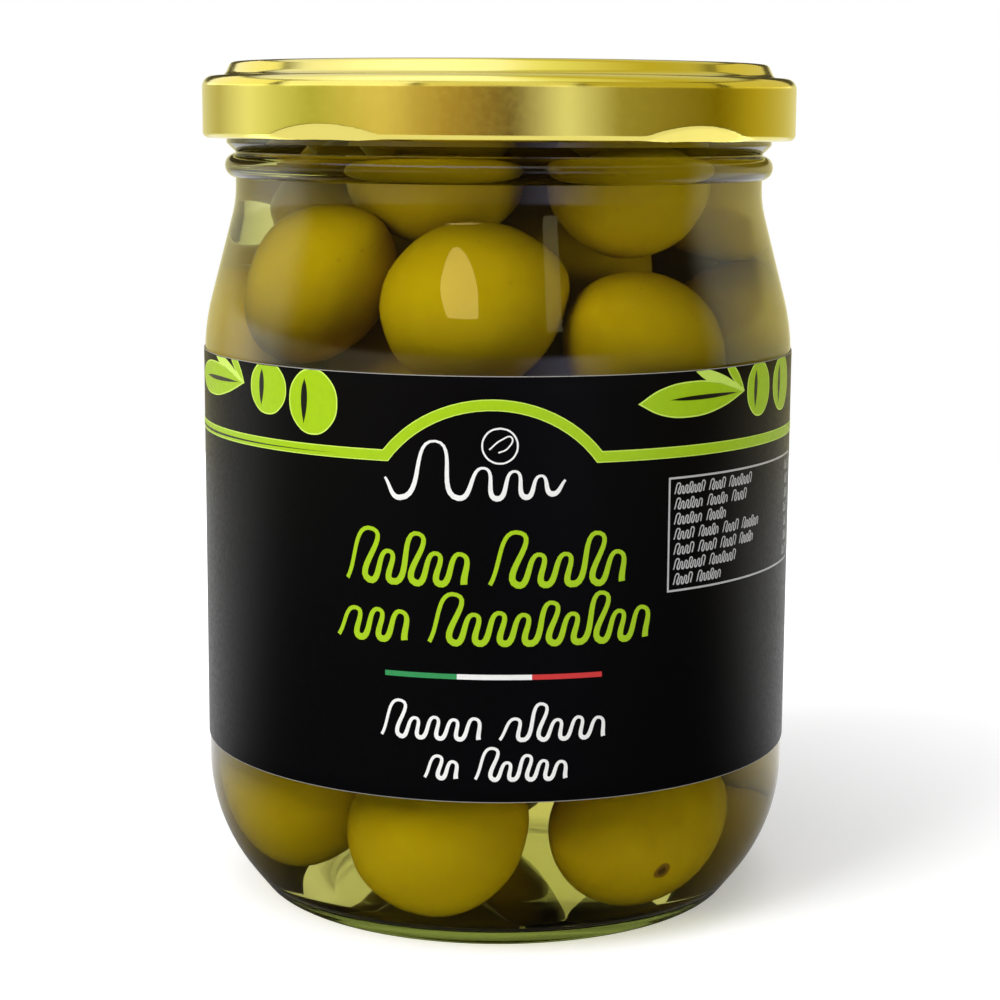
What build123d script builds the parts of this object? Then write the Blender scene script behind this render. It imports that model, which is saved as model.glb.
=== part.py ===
from build123d import *
import os
from math import cos, radians, sin, sqrt, tan

# Jar of olives in brine: a clear glass jar, its twist-off lid, a wrap-round label and the
# brine that fills it. Millimetres, +Z up. The origin is the middle of the ring that the
# jar stands on, and the front of the label faces -Y. Each section is drawn in the XZ
# plane and turned about Z.

# Glass: heel, body, shoulder and neck
body_radius = 42.55
glass_wall = 2.2
heel_radius = 25.75
heel_turn = 37.9  # degrees, from the body round to the heel's cone
heel_cone = 3.55  # length of the cone between the two curves
foot_corner = 2.0
shoulder_start = 78.4
shoulder_radius = 33.0
shoulder_slope = 14.8  # degrees off upright
shoulder_in = 4.69  # from the body in to the neck
neck_cove = 15.0

# Glass: base
standing_width = 1.3
push_up_round = 1.6
push_up_turn = 55.0
push_up_slope = 4.0  # degrees, at the edge of the domed underside
inner_corner = 5.0
floor_slope = 8.0  # degrees, at the edge of the domed floor inside

# Glass: bead, finish and threads
bead_rise = 3.05  # from the foot of the neck to the middle of the bead
bead_reach = 1.5
bead_curve = 1.75
finish_rise = 3.15  # from the middle of the bead to the full width of the finish
finish_step = 1.24
finish_height = 10.7
rim_round = 2.2
lip_round = 0.6
thread_count = 5
thread_arc = 40.0
thread_reach = 1.4
thread_height = 1.6
thread_flank = 0.4  # how much narrower each thread is at its crest
thread_turn = 2.5  # degrees that the front pair of threads and lugs is turned

# Lid
sheet = 0.3
seal_gap = 0.3  # room for the lining between the rim and the lid
skirt_clearance = 3.05  # from the finish to the inside of the skirt
lid_height = 10.6
shoulder_drop = 1.95  # from the raised ring down to the shoulder
shoulder_round = 1.5
ring_inset = 4.05  # from the skirt to the top of the raised ring's outer wall
ring_lean = 0.9
ring_round = 0.8
ring_cove = 1.0
dish_depth = 0.9
dish_gap = 0.35  # from the mouth of the glass to the dish's wall
dish_lean = 0.25
dish_round = 0.5
button_radius = 16.0
button_depth = 0.35
button_slope = 1.2
button_round = 0.6
curl_radius = 0.85
curl_turn = 230.0
lug_arc = 30.0
lug_height = 2.0
lug_lean = 32.0  # degrees that the skirt is pressed in at each lug
lug_tongue = 0.8  # thickness of the part that catches under a thread
lug_gap = 0.5  # from the tongue to the finish
lug_play = 0.3  # from the tongue up to its thread

# Label
label_foot = 3.4  # from the heel up to the label
label_overrun = 1.15  # how far the label runs past the foot of the shoulder
label_thickness = 0.2
label_gap = 8.0  # degrees between its two ends, at the back

# Brine
headspace = 5.4  # from the level of the brine up to the rim


def run(radius, degrees):
    """How far an arc carries a line along its old direction."""
    return radius * sin(radians(degrees))


def bow(radius, degrees):
    """How far an arc carries a line to the side of its old direction."""
    return radius * (1 - cos(radians(degrees)))


# Sizes that follow from those
foot_turn = 90 - heel_turn
cone_in = heel_cone * sin(radians(heel_turn))
cone_up = heel_cone * cos(radians(heel_turn))
standing_radius = body_radius - bow(heel_radius, heel_turn) - cone_in - run(foot_corner, foot_turn)
heel_top = bow(foot_corner, foot_turn) + cone_up + run(heel_radius, heel_turn)

neck_radius = body_radius - shoulder_in
slant_in = shoulder_in - bow(shoulder_radius, shoulder_slope) - bow(neck_cove, shoulder_slope)
slant = slant_in / sin(radians(shoulder_slope))
slant_up = slant * cos(radians(shoulder_slope))
shoulder_up = run(shoulder_radius, shoulder_slope) + slant_up + run(neck_cove, shoulder_slope)
neck_start = shoulder_start + shoulder_up

bead_z = neck_start + bead_rise
bead_half = sqrt(bead_curve**2 - (bead_curve - bead_reach) ** 2)
finish_foot = bead_z + finish_rise
finish_radius = neck_radius + finish_step
rim_top = finish_foot + finish_height
mouth_radius = neck_radius - glass_wall
brine_level = rim_top - headspace

lid_top = rim_top + seal_gap + sheet
lid_bottom = lid_top - lid_height
skirt_radius = finish_radius + skirt_clearance + sheet
shoulder_z = lid_top - shoulder_drop
ring_radius = skirt_radius - ring_inset
dish_radius = mouth_radius - dish_gap - sheet
dish_z = lid_top - dish_depth
button_z = dish_z - button_depth

label_bottom = heel_top + label_foot
label_height = shoulder_start + label_overrun - label_bottom

crease_z = lid_bottom + lug_height
lug_wall = sheet / cos(radians(lug_lean))  # the pressed sheet, measured level
lug_taper = tan(radians(lug_lean))
tongue_top = lid_bottom + lug_tongue
tongue_radius = finish_radius + lug_gap
thread_bottom = tongue_top + lug_play
lug_step = 360 / thread_count
lug_middles = [thread_turn - 90 + (n + 0.5) * lug_step for n in range(thread_count)]


def outer_path():
    """The outside of the glass, from the standing ring up to the rim."""
    foot = JernArc((standing_radius, 0), (1, 0), foot_corner, foot_turn)
    cone = Line(foot @ 1, foot @ 1 + heel_cone * (foot % 1))
    heel = JernArc(cone @ 1, cone % 1, heel_radius, heel_turn)
    side = Line(heel @ 1, (body_radius, shoulder_start))
    bulge = JernArc(side @ 1, side % 1, shoulder_radius, shoulder_slope)
    flank = Line(bulge @ 1, bulge @ 1 + slant * (bulge % 1))
    cove = JernArc(flank @ 1, flank % 1, neck_cove, -shoulder_slope)
    neck = Line(cove @ 1, (neck_radius, bead_z - bead_half))
    bead = ThreePointArc(
        neck @ 1, (neck_radius + bead_reach, bead_z), (neck_radius, bead_z + bead_half)
    )
    finish = Polyline(
        bead @ 1,
        (neck_radius, finish_foot - finish_step),
        (finish_radius, finish_foot),
        (finish_radius, rim_top - rim_round),
    )
    rim = JernArc(finish @ 1, (0, 1), rim_round, 90)
    return foot @ 0, rim @ 1


def inner_path(top):
    """The inside of the glass, from the height top down to the middle of the floor."""
    bore = Line((mouth_radius, top), (mouth_radius, neck_start))
    cove = JernArc(bore @ 1, (0, -1), neck_cove + glass_wall, shoulder_slope)
    flank = Line(cove @ 1, cove @ 1 + slant * (cove % 1))
    bulge = JernArc(flank @ 1, flank % 1, shoulder_radius - glass_wall, -shoulder_slope)
    side = Line(bulge @ 1, (body_radius - glass_wall, heel_top))
    heel = JernArc(side @ 1, (0, -1), heel_radius - glass_wall, -heel_turn)
    corner = JernArc(heel @ 1, heel % 1, inner_corner, -foot_turn - floor_slope)
    dome = (corner @ 1).X / sin(radians(floor_slope))
    floor = JernArc(corner @ 1, corner % 1, dome, floor_slope)
    return bore @ 0, floor @ 1


def under_path():
    """The underside of the glass, from the standing ring in to the middle."""
    step = JernArc((standing_radius - standing_width, 0), (-1, 0), push_up_round, -push_up_turn)
    ledge = JernArc(step @ 1, step % 1, push_up_round, push_up_turn - push_up_slope)
    dome = (ledge @ 1).X / sin(radians(push_up_slope))
    middle = JernArc(ledge @ 1, ledge % 1, dome, push_up_slope)
    return step @ 0, middle @ 1


def upright_plane(angle):
    """The half plane through Z at an angle about it, where a section is drawn."""
    across = (cos(radians(angle)), sin(radians(angle)), 0)
    return Plane(origin=(0, 0, 0), x_dir=across, z_dir=(across[1], -across[0], 0))


def press_plane(angle):
    """The slanted flat that presses the skirt in at one lug, facing out and down."""
    across = upright_plane(angle).x_dir
    crease = across * skirt_radius + Vector(0, 0, crease_z)
    facing = across * cos(radians(lug_lean)) - Vector(0, 0, sin(radians(lug_lean)))
    return Plane(origin=crease, z_dir=facing)


with BuildPart() as jar:
    with BuildSketch(Plane.XZ):
        with BuildLine():
            standing, rim_edge = outer_path()
            lip = Line(rim_edge, (mouth_radius + lip_round, rim_top))
            lip_curve = JernArc(lip @ 1, (-1, 0), lip_round, 90)
            bore_top, floor_middle = inner_path(rim_top - lip_round)
            under_edge, under_middle = under_path()
            Line(floor_middle, under_middle)
            Line(under_edge, standing)
        make_face()
    revolve(axis=Axis.Z)
    for middle in lug_middles:
        with BuildSketch(upright_plane(middle - thread_arc / 2)):
            with BuildLine():
                Polyline(
                    (mouth_radius + glass_wall, thread_bottom),
                    (finish_radius, thread_bottom),
                    (finish_radius + thread_reach, thread_bottom + thread_flank),
                    (finish_radius + thread_reach, thread_bottom + thread_height - thread_flank),
                    (finish_radius, thread_bottom + thread_height),
                    (mouth_radius + glass_wall, thread_bottom + thread_height),
                    close=True,
                )
            make_face()
        revolve(axis=Axis.Z, revolution_arc=thread_arc)

with BuildPart() as brine:
    with BuildSketch(Plane.XZ):
        with BuildLine():
            level_edge, floor_middle = inner_path(brine_level)
            Line(level_edge, (0, brine_level))
            Line((0, brine_level), floor_middle)
        make_face()
    revolve(axis=Axis.Z)

with BuildPart() as lid:
    with BuildSketch(Plane.XZ):
        with BuildLine():
            cover = FilletPolyline(
                (0, button_z),
                (button_radius, button_z),
                (button_radius + button_slope, dish_z),
                (dish_radius, dish_z),
                (dish_radius + dish_lean, lid_top),
                (ring_radius, lid_top),
                (ring_radius + ring_lean, shoulder_z),
                (skirt_radius, shoulder_z),
                (skirt_radius, lid_bottom + curl_radius),
                radius=[
                    button_round,
                    button_round,
                    dish_round,
                    dish_round,
                    ring_round,
                    ring_cove,
                    shoulder_round,
                ],
            )
            JernArc(cover @ 1, (0, -1), curl_radius, -curl_turn)
            offset(amount=sheet, side=Side.RIGHT)
        make_face()
    revolve(axis=Axis.Z)

    for middle in lug_middles:
        with BuildSketch(upright_plane(middle - lug_arc / 2)):
            with BuildLine():
                Polyline(
                    (skirt_radius - sheet / 2, lid_bottom),
                    (skirt_radius - sheet / 2, crease_z + (lug_wall - sheet) / lug_taper),
                    (skirt_radius - sheet, crease_z + (lug_wall - sheet) / lug_taper),
                    (skirt_radius - lug_wall - (crease_z - tongue_top) * lug_taper, tongue_top),
                    (tongue_radius, tongue_top),
                    (tongue_radius, lid_bottom),
                    close=True,
                )
            make_face()
        revolve(axis=Axis.Z, revolution_arc=lug_arc)
    for middle in lug_middles:
        split(bisect_by=press_plane(middle), keep=Keep.BOTTOM)

with BuildPart() as label:
    with BuildSketch(Plane.XY.offset(label_bottom)):
        with BuildLine():
            label_start = 90 + label_gap / 2
            label_arc = 360 - label_gap
            face = CenterArc((0, 0), body_radius + label_thickness, label_start, label_arc)
            back = CenterArc((0, 0), body_radius, label_start, label_arc)
            Line(face @ 0, back @ 0)
            Line(face @ 1, back @ 1)
        make_face()
    extrude(amount=label_height)

os.makedirs("parts", exist_ok=True)
for name, piece in {"jar": jar, "brine": brine, "lid": lid, "label": label}.items():
    piece.part.label = name
    export_step(piece.part, f"parts/{name}.step")
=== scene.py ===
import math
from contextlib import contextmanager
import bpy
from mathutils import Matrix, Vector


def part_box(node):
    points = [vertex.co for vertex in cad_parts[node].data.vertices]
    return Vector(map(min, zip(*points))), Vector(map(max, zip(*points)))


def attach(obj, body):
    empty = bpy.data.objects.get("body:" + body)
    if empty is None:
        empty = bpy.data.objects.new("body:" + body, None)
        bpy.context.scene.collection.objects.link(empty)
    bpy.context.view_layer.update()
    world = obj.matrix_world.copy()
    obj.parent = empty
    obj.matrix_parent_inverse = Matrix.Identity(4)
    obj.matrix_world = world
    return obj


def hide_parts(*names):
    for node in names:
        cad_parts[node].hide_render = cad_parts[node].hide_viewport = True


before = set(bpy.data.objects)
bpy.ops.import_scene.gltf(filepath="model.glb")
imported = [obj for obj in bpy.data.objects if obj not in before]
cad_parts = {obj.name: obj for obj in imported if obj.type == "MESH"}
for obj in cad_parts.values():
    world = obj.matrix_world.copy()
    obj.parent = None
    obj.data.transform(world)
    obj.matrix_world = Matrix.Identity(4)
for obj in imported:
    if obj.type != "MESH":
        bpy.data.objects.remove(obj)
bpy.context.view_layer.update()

# A jar of green olives in brine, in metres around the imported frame: the glass jar, the brine,
# the olives, the twist-off lid, and the wrap-round label with its print. The label's front
# faces -Y. Sections are drawn in the XZ plane and turned about Z.

from types import SimpleNamespace

import bmesh
import bpy
import numpy as np
from bpy.props import (
    FloatProperty,
    FloatVectorProperty,
    IntProperty,
    PointerProperty,
)
from mathutils import Matrix, Vector

bl_info = {
    "name": "Jar of olives",
    "version": (1, 0, 0),
    "blender": (4, 5, 0),
    "location": "3D View > Sidebar > Olives",
    "description": "A glass jar of green olives in brine, with a gold lid and a printed label",
    "category": "Object",
}

MM = 0.001
JAR_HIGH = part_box("jar")[1]
LID_LOW, LID_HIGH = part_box("lid")
LABEL_LOW, LABEL_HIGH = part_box("label")
BRINE_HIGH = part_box("brine")[1]


def length(name, description, default):
    return FloatProperty(name=name, description=description, default=default, unit="LENGTH")


def angle(name, description, default):
    return FloatProperty(
        name=name, description=description, default=math.radians(default), subtype="ANGLE"
    )


def share(name, description, default):
    return FloatProperty(
        name=name, description=description, default=default, min=0.0, max=1.0, subtype="FACTOR"
    )


def number(name, description, default):
    return IntProperty(name=name, description=description, default=default, min=1)


def colour(name, description, default):
    return FloatVectorProperty(
        name=name, description=description, default=default, min=0.0, max=1.0, subtype="COLOR"
    )


class GlassSettings(bpy.types.PropertyGroup):
    body_radius: length("Body radius", "Outside of the straight body", JAR_HIGH.x)
    wall: length("Wall", "Thickness of the glass", 2.2 * MM)
    heel_radius: length("Heel", "Curve from the body to the base", 25.75 * MM)
    heel_turn: angle("Heel turn", "How far that curve turns", 37.9)
    heel_cone: length("Heel cone", "Cone between the heel and the foot", 3.55 * MM)
    foot_corner: length("Foot corner", "Curve into the standing ring", 2.0 * MM)
    shoulder_start: length("Shoulder start", "Top of the straight body", 78.4 * MM)
    shoulder_radius: length("Shoulder", "Curve of the shoulder", 33.0 * MM)
    shoulder_slope: angle("Shoulder slope", "Slope of the shoulder off upright", 14.8)
    shoulder_in: length("Shoulder in", "From the body in to the neck", 4.69 * MM)
    neck_cove: length("Neck cove", "Hollow curve under the neck", 15.0 * MM)
    standing_width: length("Standing width", "Flat ring the jar stands on", 1.3 * MM)
    push_up_round: length("Push-up round", "Curves of the step under the base", 1.6 * MM)
    push_up_turn: angle("Push-up turn", "Steepness of that step", 55.0)
    push_up_slope: angle("Push-up slope", "Slope of the dome under the base", 4.0)
    inner_corner: length("Inner corner", "Curve inside the base", 5.0 * MM)
    floor_slope: angle("Floor slope", "Slope of the dome inside", 8.0)
    bead_rise: length("Bead rise", "From the neck up to the bead", 3.05 * MM)
    bead_reach: length("Bead reach", "How far the bead stands out", 1.5 * MM)
    bead_curve: length("Bead curve", "Curve of the bead", 1.75 * MM)
    finish_rise: length("Finish rise", "From the bead up to the finish", 3.15 * MM)
    finish_step: length("Finish step", "How far the finish stands out", 1.24 * MM)
    rim_round: length("Rim", "Outer curve of the rim", 2.2 * MM)
    lip_round: length("Lip", "Inner curve of the rim", 0.6 * MM)
    thread_count: number("Threads", "Threads round the finish", 5)
    thread_arc: angle("Thread arc", "Length of each thread", 40.0)
    thread_turn: angle("Thread turn", "Turn of the threads and lugs", 2.5)
    thread_above_lid_edge: length("Thread height", "Thread above the lid's edge", 1.1 * MM)
    thread_height: length("Thread thickness", "Height of each thread", 1.6 * MM)
    thread_reach: length("Thread reach", "How far each thread stands out", 1.4 * MM)
    turns: number("Steps round", "Faces round the jar", 192)
    tint: colour("Glass", "Colour of the glass", (0.955, 0.985, 0.95))


class BrineSettings(bpy.types.PropertyGroup):
    reach: length("Reach", "How far the brine reaches into the glass", 0.1 * MM)
    meniscus: length("Meniscus", "How far the brine climbs the glass", 1.2 * MM)
    depth_colour: colour("Brine", "Colour that deep brine turns to", (0.86, 0.80, 0.10))
    strength: FloatProperty(
        name="Strength", description="How fast the brine takes that colour", default=26.0
    )


class OliveSettings(bpy.types.PropertyGroup):
    hidden: number("Hidden olives", "Olives behind and below those at the front", 39)
    length: length("Length", "Length of a middling olive", 24.0 * MM)
    width: length("Width", "Width of a middling olive", 20.6 * MM)
    spread: share("Spread", "How much the sizes differ", 0.07)
    unevenness: length("Unevenness", "Depth of the swells in the skin", 0.7 * MM)
    skin: colour("Skin", "Bright side of the skin", (0.50, 0.345, 0.001))
    ripe: colour("Ripe skin", "Browner patches", (0.40, 0.255, 0.001))
    scar: colour("Scar", "Stem scars and spots", (0.07, 0.035, 0.008))


class LidSettings(bpy.types.PropertyGroup):
    sheet: length("Sheet", "Thickness of the tinplate", 0.3 * MM)
    shoulder_drop: length("Shoulder drop", "From the raised ring to the shoulder", 1.95 * MM)
    shoulder_round: length("Shoulder round", "Curve of the shoulder", 1.5 * MM)
    ring_inset: length("Ring inset", "From the skirt in to the raised ring", 4.05 * MM)
    ring_lean: length("Ring lean", "Slope of the ring's outer wall", 0.9 * MM)
    ring_round: length("Ring round", "Curve at the top of the ring", 0.8 * MM)
    ring_cove: length("Ring cove", "Curve at the foot of the ring", 1.0 * MM)
    dish_inset: length("Dish inset", "From the skirt in to the sunk panel", 7.44 * MM)
    dish_depth: length("Dish depth", "Depth of the sunk panel", 0.9 * MM)
    dish_lean: length("Dish lean", "Slope of the panel's wall", 0.25 * MM)
    dish_round: length("Dish round", "Curves of the panel's wall", 0.5 * MM)
    button_radius: length("Button", "Radius of the safety button", 16.0 * MM)
    button_depth: length("Button depth", "Depth of the button", 0.35 * MM)
    button_slope: length("Button slope", "Width of the button's slope", 1.2 * MM)
    button_round: length("Button round", "Curves of the button", 0.6 * MM)
    curl_radius: length("Curl", "Curl at the lower edge", 0.85 * MM)
    curl_turn: angle("Curl turn", "How far the curl turns", 230.0)
    lug_height: length("Lug height", "From the edge up to a lug's crease", 2.0 * MM)
    lug_lean: angle("Lug lean", "How far the skirt is pressed in", 32.0)
    lug_arc: angle("Lug arc", "Width of each lug", 30.0)
    lug_reach: length("Lug reach", "How far a lug's tongue reaches in", 0.9 * MM)
    turns: number("Steps round", "Faces round the lid", 240)
    gold: colour("Gold", "Colour of the lacquered tinplate", (0.84, 0.74, 0.13))


class LabelSettings(bpy.types.PropertyGroup):
    gap: angle("Gap", "Bare glass between the label's ends, at the back", 8.0)
    thickness: length("Thickness", "Thickness of the paper", 0.12 * MM)
    ink: length("Ink", "Thickness of each layer of ink", 0.015 * MM)
    paper: colour("Paper", "Colour of the printed ground", (0.0015, 0.0015, 0.002))
    edge: colour("Cut edge", "Colour of the paper at its cut edge", (0.30, 0.29, 0.26))
    lime: colour("Lime ink", "Lime ink", (0.36, 0.58, 0.0))
    pale_lime: colour("Pale lime ink", "Outlines of the sprigs", (0.62, 0.86, 0.12))
    white: colour("White ink", "White ink", (0.84, 0.84, 0.82))
    green: colour("Green ink", "Green ink", (0.03, 0.30, 0.09))
    red: colour("Red ink", "Red ink", (0.62, 0.03, 0.03))
    grey: colour("Grey ink", "Grey ink", (0.52, 0.52, 0.52))


class StageSettings(bpy.types.PropertyGroup):
    camera_distance: length("Camera distance", "From the jar's axis to the camera", 342.5 * MM)
    camera_height: length("Camera height", "Height of the camera", 112.6 * MM)
    camera_aside: length("Camera aside", "How far right of the axis it stands", 0.44 * MM)
    camera_pitch: angle("Camera pitch", "How far the camera looks down", 9.31)
    camera_roll: angle("Camera roll", "How far the camera leans", 0.35)
    lens: FloatProperty(name="Lens", description="Focal length in mm", default=84.42)
    floor_radius: length("Floor", "Radius of the floor", 0.45)
    soft_light: FloatProperty(
        name="Soft light", description="Even light from all round", default=0.12
    )


# Selecting and editing


def deselect():
    if bpy.context.object and bpy.context.object.mode != "OBJECT":
        bpy.ops.object.mode_set(mode="OBJECT")
    bpy.ops.object.select_all(action="DESELECT")


def activate(*pieces):
    """Selects these objects alone; the first is the active one."""
    deselect()
    for piece in pieces:
        piece.select_set(True)
    bpy.context.view_layer.objects.active = pieces[0]


@contextmanager
def editing(piece, kind="FACE"):
    activate(piece)
    bpy.ops.object.mode_set(mode="EDIT")
    bpy.ops.mesh.select_mode(type=kind)
    bpy.ops.mesh.select_all(action="SELECT")
    yield
    bpy.ops.object.mode_set(mode="OBJECT")


def pick(piece, kind, test):
    """Selects, in edit mode, the piece's verts, edges or faces that pass a test."""
    bpy.ops.mesh.select_all(action="DESELECT")
    mesh = bmesh.from_edit_mesh(piece.data)
    for element in getattr(mesh, kind):
        if test(element):
            element.select_set(True)
    mesh.select_flush_mode()
    bmesh.update_edit_mesh(piece.data)


def middle(face):
    return face.calc_center_median()


def bearing(point):
    """Direction of a point about Z, in radians from the front, positive to the right."""
    return math.atan2(point.x, -point.y)


def apply_modifier(piece, kind, **settings):
    activate(piece)
    modifier = piece.modifiers.new(kind.title(), kind)
    for name, value in settings.items():
        setattr(modifier, name, value)
    bpy.ops.object.modifier_apply(modifier=modifier.name)


def smooth(piece, degrees=35.0):
    activate(piece)
    bpy.ops.object.shade_smooth_by_angle(angle=math.radians(degrees))


def settle_place(piece):
    """Leaves the object at the origin, unturned and unscaled, with its place in its mesh."""
    activate(piece)
    bpy.ops.object.transform_apply(location=True, rotation=True, scale=True)


def join(name, pieces):
    activate(*pieces)
    if len(pieces) > 1:
        bpy.ops.object.join()
    piece = bpy.context.object
    piece.name = name
    piece.data.name = name
    return piece


# Lines drawn by straight runs and arcs


class Path:
    """A line in the XZ plane that goes on from where it is. Turns are in degrees, left positive."""

    def __init__(self, x, z, heading=0.0):
        self.points = [(x, z)]
        self.heading = math.radians(heading)

    @property
    def end(self):
        return self.points[-1]

    def line(self, distance, steps=1):
        x, z = self.end
        for n in range(1, steps + 1):
            far = distance * n / steps
            self.points.append((x + far * math.cos(self.heading), z + far * math.sin(self.heading)))
        return self

    def to(self, x, z, steps=1):
        here = self.end
        self.heading = math.atan2(z - here[1], x - here[0])
        return self.line(math.hypot(x - here[0], z - here[1]), steps)

    def arc(self, radius, turn, finest=6.0, longest=1.4 * MM):
        x, z = self.end
        turn = math.radians(turn)
        side = math.copysign(1.0, turn)
        centre = (x - side * radius * math.sin(self.heading), z + side * radius * math.cos(self.heading))
        steps = max(
            2, math.ceil(abs(turn) / math.radians(finest)), math.ceil(abs(turn) * radius / longest)
        )
        start = math.atan2(z - centre[1], x - centre[0])
        for n in range(1, steps + 1):
            at = start + turn * n / steps
            self.points.append((centre[0] + radius * math.cos(at), centre[1] + radius * math.sin(at)))
        self.heading += turn
        return self

    def turned(self, turn):
        """Changes the heading at a sharp corner."""
        self.heading += math.radians(turn)
        return self

    def rounded(self, corners, radii, last_steps=1):
        """Goes through corners, each rounded to its radius, and ends at the last of them."""
        spare = 0.0
        for n, corner in enumerate(corners):
            here = self.end
            before = corners[n - 1] if n else here
            self.heading = math.atan2(corner[1] - before[1], corner[0] - before[0])
            run = math.hypot(corner[0] - before[0], corner[1] - before[1]) - spare
            if n == len(corners) - 1:
                return self.line(run, last_steps)
            ahead = math.atan2(corners[n + 1][1] - corner[1], corners[n + 1][0] - corner[0])
            turn = math.remainder(ahead - self.heading, 2 * math.pi)
            spare = radii[n] * math.tan(abs(turn) / 2)
            self.line(run - spare)
            self.arc(radii[n], math.degrees(turn), finest=15.0)
        return self


def draw(name, path):
    """Draws a path as edges, by extruding one vertex along it."""
    deselect()
    bpy.ops.mesh.primitive_plane_add(size=MM)
    piece = bpy.context.object
    piece.name = name
    piece.data.name = name
    with editing(piece, "VERT"):
        bpy.ops.mesh.merge(type="CENTER")
        x, z = path.points[0]
        bpy.ops.transform.translate(value=(x, 0, z))
        for next_x, next_z in path.points[1:]:
            bpy.ops.mesh.extrude_vertices_move(
                TRANSFORM_OT_translate={"value": (next_x - x, 0, next_z - z)}
            )
            x, z = next_x, next_z
    return piece


def spin_round(piece, steps, turn=2 * math.pi):
    """Turns a drawn section about Z, closes it and faces it outwards."""
    with editing(piece, "VERT"):
        bpy.ops.mesh.spin(steps=steps, angle=turn, center=(0, 0, 0), axis=(0, 0, 1))
        bpy.ops.mesh.select_all(action="SELECT")
        bpy.ops.mesh.remove_doubles(threshold=0.002 * MM)
        bpy.ops.mesh.normals_make_consistent(inside=False)


def fill(name, path):
    """Draws a path and fills it as one face."""
    piece = draw(name, path)
    with editing(piece, "VERT"):
        bpy.ops.mesh.remove_doubles(threshold=0.002 * MM)
        bpy.ops.mesh.edge_face_add()
    return piece


# Shaders


class Wire:
    """A value in a shader. Arithmetic on it adds Math nodes."""

    def __init__(self, shader, socket):
        self.shader = shader
        self.socket = socket

    def maths(self, operation, *values):
        return self.shader.maths(operation, *values)

    def __add__(self, other):
        return self.maths("ADD", self, other)

    __radd__ = __add__

    def __sub__(self, other):
        return self.maths("SUBTRACT", self, other)

    def __rsub__(self, other):
        return self.maths("SUBTRACT", other, self)

    def __mul__(self, other):
        return self.maths("MULTIPLY", self, other)

    __rmul__ = __mul__

    def __truediv__(self, other):
        return self.maths("DIVIDE", self, other)

    def larger(self, other):
        return self.maths("MAXIMUM", self, other)

    def output(self, name):
        """Another output of the same node."""
        return Wire(self.shader, self.socket.node.outputs[name])


class Shader:
    """Builds the nodes of a material or a world."""

    def __init__(self, owner):
        owner.use_nodes = True
        self.owner = owner
        self.tree = owner.node_tree
        self.tree.nodes.clear()

    def node(self, kind, settings=None, values=None, output=0):
        """Adds a node: first its settings, then the values or links of its sockets."""
        node = self.tree.nodes.new(kind)
        for name, value in (settings or {}).items():
            if name == "stops":
                self.set_stops(node.color_ramp, value)
            else:
                setattr(node, name, value)
        for name, value in (values or {}).items():
            if isinstance(value, Wire):
                self.tree.links.new(value.socket, node.inputs[name])
            else:
                node.inputs[name].default_value = value
        return Wire(self, node.outputs[output]) if node.outputs else node

    def maths(self, operation, *values):
        return self.node("ShaderNodeMath", {"operation": operation}, dict(enumerate(values)))

    @staticmethod
    def set_stops(ramp, stops):
        for n, (place, value) in enumerate(stops):
            stop = ramp.elements[n] if n < 2 else ramp.elements.new(place)
            stop.position = place
            stop.color = (*value, 1.0) if len(value) == 3 else value

    def place(self):
        """Object coordinates."""
        return self.node("ShaderNodeTexCoord", output="Object")

    def noise(self, scale, detail=2.0, roughness=0.5, vector=None):
        return self.node(
            "ShaderNodeTexNoise",
            values={
                "Vector": vector or self.place(),
                "Scale": scale,
                "Detail": detail,
                "Roughness": roughness,
            },
        )

    def between(self, value, low, high, start=0.0, end=1.0):
        """Brings a value from low..high to start..end."""
        return self.node(
            "ShaderNodeMapRange",
            {"interpolation_type": "SMOOTHSTEP"},
            {"Value": value, 1: low, 2: high, 3: start, 4: end},
        )

    def mix(self, factor, first, second):
        """Mixes two colours."""
        colours = [c if isinstance(c, Wire) else (*c, 1.0) for c in (first, second)]
        return self.node(
            "ShaderNodeMix",
            {"data_type": "RGBA"},
            {0: factor, 6: colours[0], 7: colours[1]},
            output=2,
        )

    def bump(self, height, distance, strength=1.0):
        return self.node(
            "ShaderNodeBump",
            values={"Height": height, "Distance": distance, "Strength": strength},
        )

    def principled(self, colour, **values):
        if not isinstance(colour, Wire):
            colour = (*colour, 1.0)
        named = {name.replace("_", " "): value for name, value in values.items()}
        return self.node("ShaderNodeBsdfPrincipled", values={"Base Color": colour, **named})

    def mix_shader(self, factor, first, second):
        return self.node("ShaderNodeMixShader", values={0: factor, 1: first, 2: second})

    def clear_to_light(self, surface, tint):
        """Lets lamps and even light straight in, so that what glass holds is lit."""
        ray = self.node("ShaderNodeLightPath", output="Is Shadow Ray")
        straight = ray.larger(ray.output("Is Diffuse Ray"))
        open_way = self.node("ShaderNodeBsdfTransparent", values={"Color": (*tint, 1.0)})
        return self.mix_shader(straight, surface, open_way)

    def finish(self, surface, volume=None):
        sinks = {"Surface": surface}
        if volume:
            sinks["Volume"] = volume
        self.node("ShaderNodeOutputMaterial", values=sinks)
        return self.owner


def new_material(name):
    return Shader(bpy.data.materials.new(name))


def glass_material(settings):
    shader = new_material("clear glass")
    ripple = shader.noise(55.0, detail=1.0)
    body = shader.principled(
        tuple(settings.tint),
        Roughness=0.0,
        IOR=1.5,
        Specular_IOR_Level=0.25,
        Transmission_Weight=1.0,
        Normal=shader.bump(ripple, 0.06 * MM),
    )
    thick = shader.node(
        "ShaderNodeVolumeAbsorption", values={"Color": (0.54, 0.60, 0.03, 1.0), "Density": 42.0}
    )
    return shader.finish(shader.clear_to_light(body, (0.97, 0.98, 0.96)), thick)


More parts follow.
